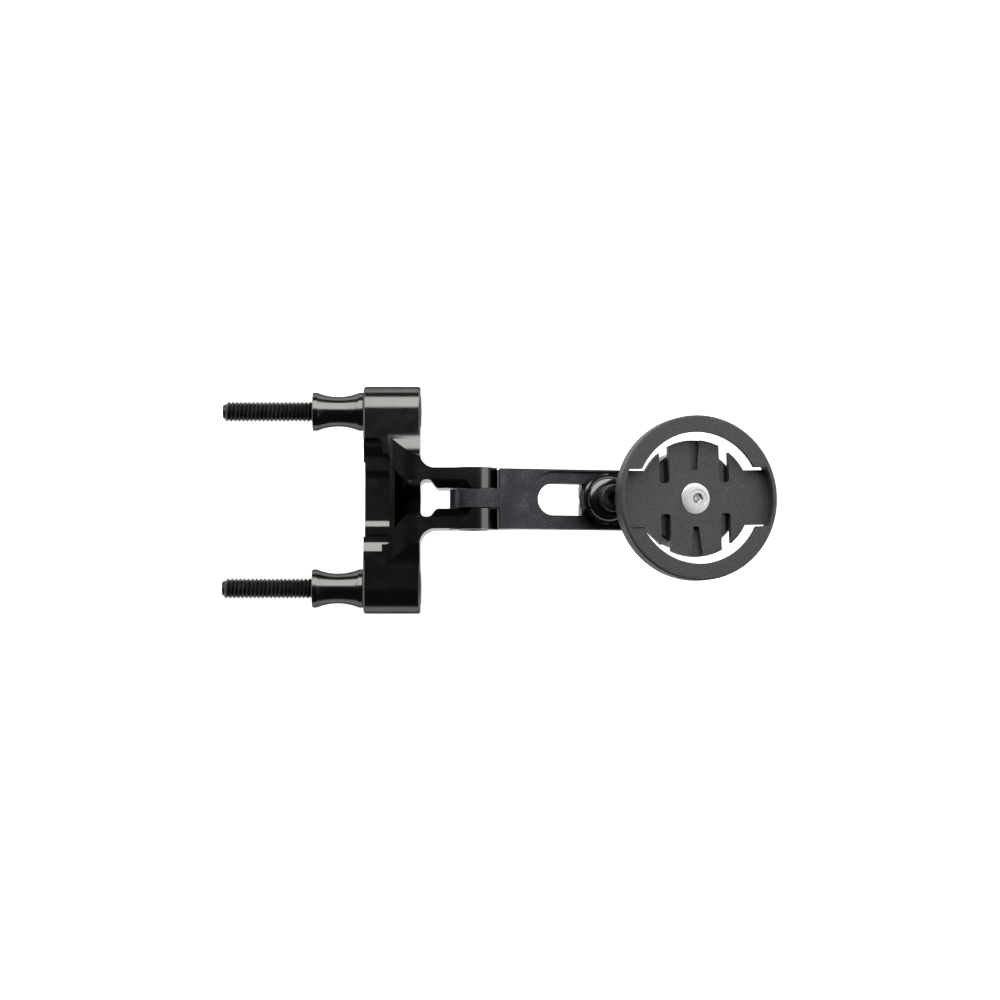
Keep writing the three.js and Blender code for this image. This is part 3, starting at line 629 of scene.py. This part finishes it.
def hinge_pin():
    """The hinge's button-head bolt, flush in its ear."""
    low, high, rim = span("hinge_bolt", HINGE_FRAME)
    seat = high - HINGE_BOLT_HEAD
    crown = [(1, 0.4 * MM), (0.94, 0.85 * MM), (0.82, 1.25 * MM), (0.64, 1.55 * MM)]
    flat = 0.5 * rim
    profile = [(0, seat), (rim - RIM_CHAMFER, seat), (rim, seat + RIM_CHAMFER)]
    profile += [(share * rim, seat + height) for share, height in crown]
    head = revolve("head", profile + [(flat, high), (0, high)], HINGE_FRAME)
    hexagon_socket(head, HINGE_FRAME, HINGE_BOLT_KEY, high - LOW_SOCKET_DEPTH, high + SOCKET_CLEAR)
    shank = threaded_shank(HINGE_FRAME, low, seat + SINK, SHANK_RADIUS, FINE_PITCH,
                           MATERIALS["black_steel"])
    bolt = joined("hinge_bolt_threaded", [head, *shank])
    smooth(bolt)
    fit(bolt, "hinge_bolt")


def cap_washer():
    """The crowned cap on the carrier's tail, rounded off from its rim to the flat under the bolt."""
    low, high, rim = span("cap_washer", CLAMP_FRAME)
    bore = 1.6 * MM
    crown = 3.0 * MM
    land = 0.3 * MM
    steps = 16
    profile = [(bore, low), (rim - RIM_CHAMFER, low), (rim, low + RIM_CHAMFER)]
    for i in range(steps + 1):
        turn = math.radians(90) * i / steps
        profile.append((crown + (rim - crown) * math.cos(turn),
                        low + land + (high - low - land) * math.sin(turn)))
    profile += [(bore, high), (bore, low)]
    washer = revolve("cap_washer_turned", profile, CLAMP_FRAME, SMOOTH_ROUND_STEPS)
    smooth(washer)
    fit(washer, "cap_washer")


def cup_screw():
    """The bright countersunk screw in the cup's floor."""
    low, high, rim = span("cup_screw", CUP_FRAME)
    land = 0.3 * MM
    edge = 0.2 * MM
    step = 0.05 * MM
    cone_lip = 0.03 * MM
    cone_slope = 0.6
    dish = 1.7 * MM  # the sunken middle of the head, round its socket
    neck = high - land - (rim - SHANK_RADIUS) * cone_slope
    profile = [(0, neck), (SHANK_RADIUS - step, neck)]
    profile += [(rim - cone_lip, high - land), (rim, high - land + step)]
    profile += arc((rim - edge, high - edge), edge, 0, 90, 4)
    profile += [(dish + step, high), (dish, high - step), (0, high - step)]
    head = revolve("head", profile, CUP_FRAME)
    hexagon_socket(head, CUP_FRAME, CUP_SCREW_KEY, high - LOW_SOCKET_DEPTH, high + SOCKET_CLEAR)
    shank = threaded_shank(CUP_FRAME, low, neck + SINK, SHANK_RADIUS, FINE_PITCH,
                           MATERIALS["stainless"])
    screw = joined("cup_screw_turned", [head, *shank])
    smooth(screw)
    fit(screw, "cup_screw")


def cup_pins():
    for side in SIDES:
        node = "cup_pin_" + side
        place = frame_along(middle(node), ARM_NORMAL)
        low, high, rim = span(node, place)
        profile = [(0, low)] + arc((rim - PIN_EDGE, low + PIN_EDGE), PIN_EDGE, -90, 0, 3)
        profile += arc((rim - PIN_EDGE, high - PIN_EDGE), PIN_EDGE, 0, 90, 3) + [(0, high)]
        pin = revolve(node + "_ground", profile, place, PIN_STEPS)
        smooth(pin)
        fit(pin, node)


def machined_pieces():
    """Milled and moulded nodes keep their own shapes and get broken edges."""
    edges = {
        "stem_bracket": 0.14 * MM,
        "slotted_arm": 0.15 * MM,
        "carrier": 0.15 * MM,
        "quarter_turn_cup": 0.16 * MM,
        "barrel_nut": 0.08 * MM,
        "hinge_nut": 0.12 * MM,
        "slot_washer": 0.1 * MM,
    }
    for node, edge in edges.items():
        fit(machined_copy(node, edge), node)


# ------------------------------------------------------------------ stage, light and camera
VIEW_TARGET = Vector((26.4 * MM, 0, 0))
VIEW_DISTANCE = 0.6
VIEW_LEAN = math.radians(3.3)  # towards -Y
VIEW_LENS = 110.0  # millimetres, as the sensor's width is
SENSOR_WIDTH = 36.0
NEAREST_SEEN = 0.01
LIGHT_TARGET = (0.035, 0, 0)
WORLD_STRENGTH = 0.03
FLOOR_DROP = 45 * MM  # from the hinge down to the floor
FLOOR_HALF = 3.0
FLOOR_GLOW = 0.45  # the sweep is lit from behind as well


def aim(thing, place, target):
    thing.location = place
    thing.rotation_euler = (Vector(target) - Vector(place)).to_track_quat("-Z", "Y").to_euler()


def softbox(name, place, width, height, power):
    light = bpy.data.lights.new(name, "AREA")
    light.shape = "RECTANGLE"
    light.size = width
    light.size_y = height
    light.energy = power
    aim(show(name, light), place, LIGHT_TARGET)


def lights():
    """One long softbox behind (+Y), a dimmer one in front (+X) and a low strip on the stem side."""
    softbox("back_softbox", (0.035, 0.36, 0.405), width=1.1, height=0.5, power=7.4)
    softbox("front_softbox", (0.5, 0.02, 0.24), width=0.6, height=0.46, power=1.5)
    softbox("stem_side_strip", (-0.55, 0.0, 0.04), width=0.5, height=0.06, power=0.5)
    world = bpy.data.worlds.new("studio")
    world.use_nodes = True
    background = world.node_tree.nodes["Background"]
    background.inputs["Color"].default_value = linear("#ffffff")
    background.inputs["Strength"].default_value = WORLD_STRENGTH
    bpy.context.scene.world = world


def floor():
    """A white sweep, low enough to clear the head with the arm tilted right down and slid out."""
    low = HINGE.z - FLOOR_DROP
    corners = [(x * FLOOR_HALF, y * FLOOR_HALF, low) for x, y in ((-1, -1), (1, -1), (1, 1), (-1, 1))]
    piece = new_piece("studio_floor", corners, [(0, 1, 2, 3)])
    material, tree, shader, place = finish(
        "pale_paper", Roughness=0.9, Specular_IOR_Level=0.1, Emission_Color=linear("#ffffff"),
        Emission_Strength=FLOOR_GLOW)
    fibres = noise(tree, place, 1.5 * MM)
    wire(tree, shader, Base_Color=ramp(tree, fibres, [(0.2, "#f4f4f4"), (0.8, "#fafafa")]))
    piece.data.materials.append(material)


def camera():
    data = bpy.data.cameras.new("top_view")
    data.lens = VIEW_LENS
    data.sensor_width = SENSOR_WIDTH
    data.clip_start = NEAREST_SEEN
    holder = show("top_view", data)
    away = Vector((0, -math.sin(VIEW_LEAN), math.cos(VIEW_LEAN)))
    aim(holder, VIEW_TARGET + VIEW_DISTANCE * away, VIEW_TARGET)
    bpy.context.scene.camera = holder


camera()
lights()
floor()
bpy.context.scene.view_settings.view_transform = "Standard"
machined_pieces()
stem_bolts()
stem_spacers()
washers()
hinge_pin()
cap_washer()
clamp_screw()
cup_screw()
cup_pins()
